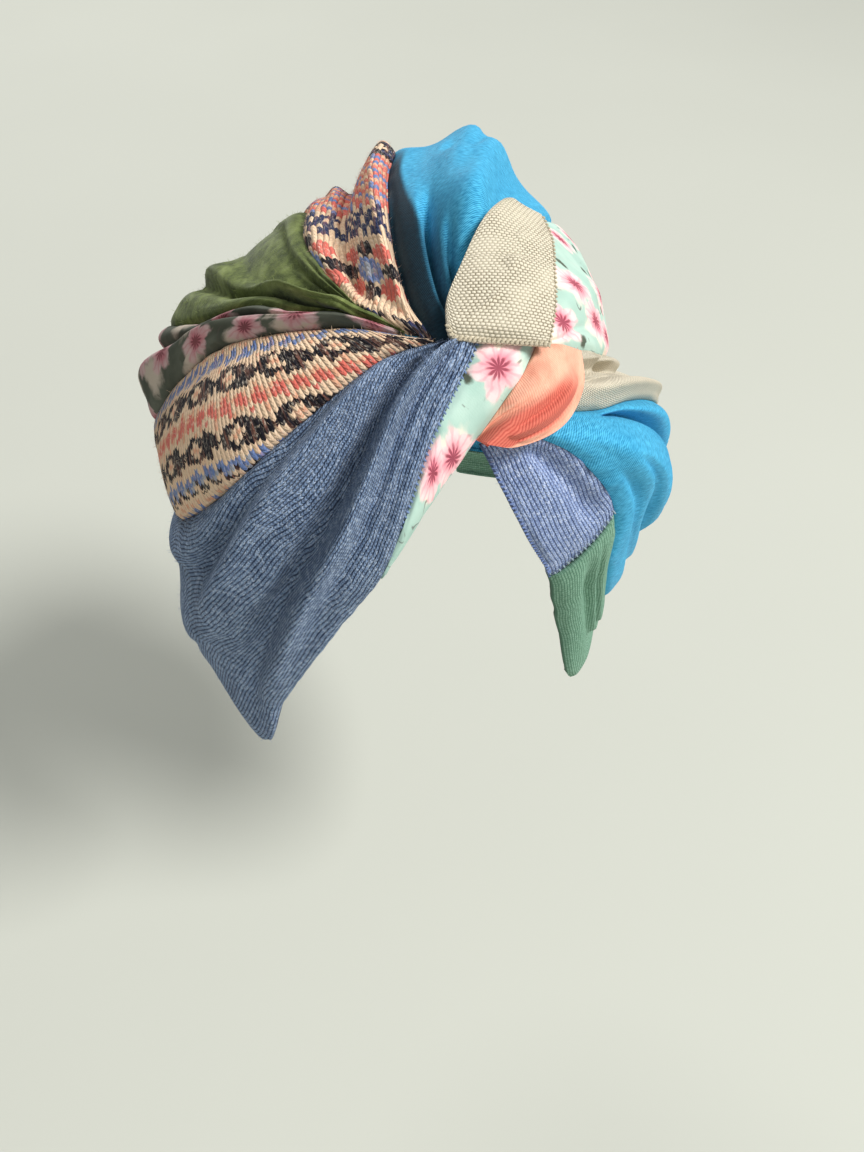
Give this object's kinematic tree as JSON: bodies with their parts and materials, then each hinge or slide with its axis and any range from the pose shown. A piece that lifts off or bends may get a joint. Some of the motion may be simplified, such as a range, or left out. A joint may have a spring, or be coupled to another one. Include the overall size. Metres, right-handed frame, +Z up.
{
  "type": "turban headwrap",
  "caption": "Patchwork turban headwrap with a front twist, a folded lapel over the knot and a gathered nape.",
  "frame": {"origin": "the seat: the top of the head form, under the crown, on the wearer's mid-plane", "axes": "+Z up, -Y the wearer's front, +X the wearer's left"},
  "size_m": [0.1846, 0.1996, 0.2037],
  "materials": {
    "denim_knit": "matte heathered knit",
    "mint_floral": "matte printed jersey",
    "fairisle_knit": "matte patterned knit",
    "grey_floral": "matte printed jersey",
    "olive_cloth": "soft velvety cloth",
    "fairisle_rosette_knit": "matte patterned knit",
    "blue_twill": "matte twill",
    "beige_weave": "coarse matte weave",
    "periwinkle_knit": "matte heathered knit",
    "green_jersey": "matte jersey",
    "coral_twill": "matte twill"
  },
  "bodies": {
    "root": {"left_wing_knit": "denim_knit", "left_wing_floral_strip": "mint_floral", "left_fairisle_panel": "fairisle_knit", "left_floral_roll": "grey_floral", "green_roll": "olive_cloth", "top_fairisle_fold": "fairisle_rosette_knit", "blue_cap": "blue_twill", "right_floral_panel": "mint_floral", "right_beige_panel": "beige_weave", "right_blue_wing": "blue_twill", "right_inner_knit": "periwinkle_knit", "right_green_jersey": "green_jersey", "knot_loop": "coral_twill", "beige_lapel": "beige_weave"}
  },
  "joints": []
}
